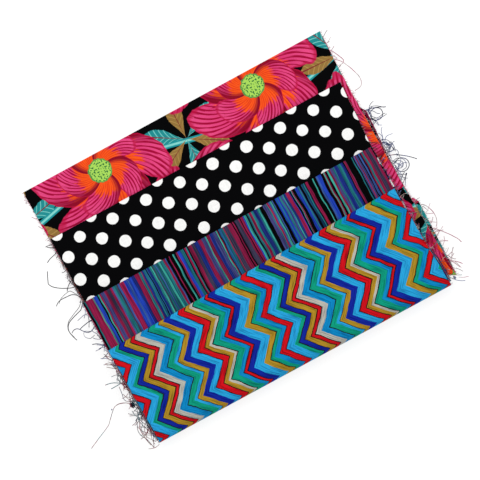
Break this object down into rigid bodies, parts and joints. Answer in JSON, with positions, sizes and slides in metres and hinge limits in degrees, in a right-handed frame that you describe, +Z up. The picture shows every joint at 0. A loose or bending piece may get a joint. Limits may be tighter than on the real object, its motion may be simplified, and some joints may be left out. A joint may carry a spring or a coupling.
{
  "type": "stack of quarter yard cuts",
  "caption": "Folded cuts of printed quilting cotton lying in steps, with the front of the stack turned under itself and frayed raw edges at both sides.",
  "frame": {"origin": "on the table, in the middle of the stack", "axes": "+Z up, +X across the cuts from the left raw edge to the right one, +Y from the turned front edge to the back folds"},
  "size_m": [0.2868, 0.1935, 0.0202],
  "materials": {
    "floral_cotton": "plain-weave quilting cotton, flowers in pink, crimson and orange on black",
    "dot_cotton": "plain-weave quilting cotton, white polka dots on black",
    "stripe_cotton": "plain-weave quilting cotton, narrow uneven stripes in blues, teals, crimson and black",
    "zigzag_cotton": "plain-weave quilting cotton, zigzag bands in blue, green, red, ochre and grey",
    "floral_yarn": "loose cotton yarn, pink and crimson",
    "dark_yarn": "loose cotton yarn, black and dark blue-grey",
    "zigzag_yarn": "loose cotton yarn, blue, green and red"
  },
  "bodies": {
    "root": {"cut_floral": "floral_cotton", "cut_dot": "dot_cotton", "cut_stripe": "stripe_cotton", "cut_zigzag": "zigzag_cotton", "loose_floral_left": "floral_yarn", "loose_floral_right": "floral_yarn", "loose_floral_under_right": "floral_yarn", "loose_dot_left": "dark_yarn", "loose_dot_right": "dark_yarn", "loose_stripe_left": "dark_yarn", "loose_stripe_right": "dark_yarn", "loose_stripe_under_right": "dark_yarn", "loose_zigzag_left": "zigzag_yarn", "loose_zigzag_right": "zigzag_yarn", "loose_zigzag_under_left": "zigzag_yarn"}
  },
  "joints": []
}
